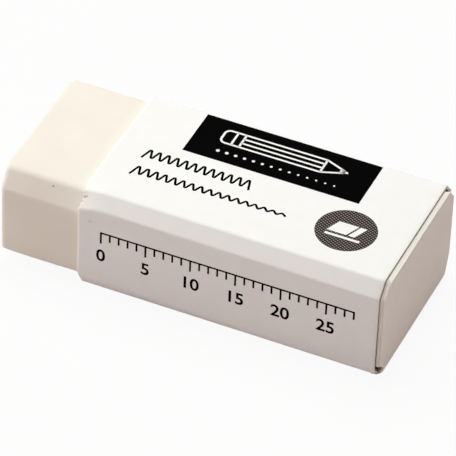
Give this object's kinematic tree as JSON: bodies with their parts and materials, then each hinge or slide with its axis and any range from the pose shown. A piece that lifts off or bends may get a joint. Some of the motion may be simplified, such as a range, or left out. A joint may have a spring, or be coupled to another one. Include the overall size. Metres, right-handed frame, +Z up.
{
  "type": "sleeved eraser",
  "caption": "Soft off-white eraser block with bevelled long edges, sliding in a folded white card sleeve that is closed at one end by glued flaps.",
  "frame": {"origin": "on the surface that the eraser lies on, under the middle of its length and width", "axes": "+X along the block towards the sleeve's closed end, +Y towards the back wall, +Z up"},
  "size_m": [0.043, 0.0194, 0.0126],
  "materials": {
    "white_card": "coated white card, matt, uncoated inside",
    "eraser_vinyl": "soft matt off-white"
  },
  "bodies": {
    "sleeve": {"card_sleeve": "white_card"},
    "block": {"eraser_block": "eraser_vinyl"}
  },
  "joints": [
    {"name": "block_slide", "type": "slide", "parent": "sleeve", "child": "block", "axis": [-1, 0, 0], "range_m": [0, 0.028]}
  ]
}
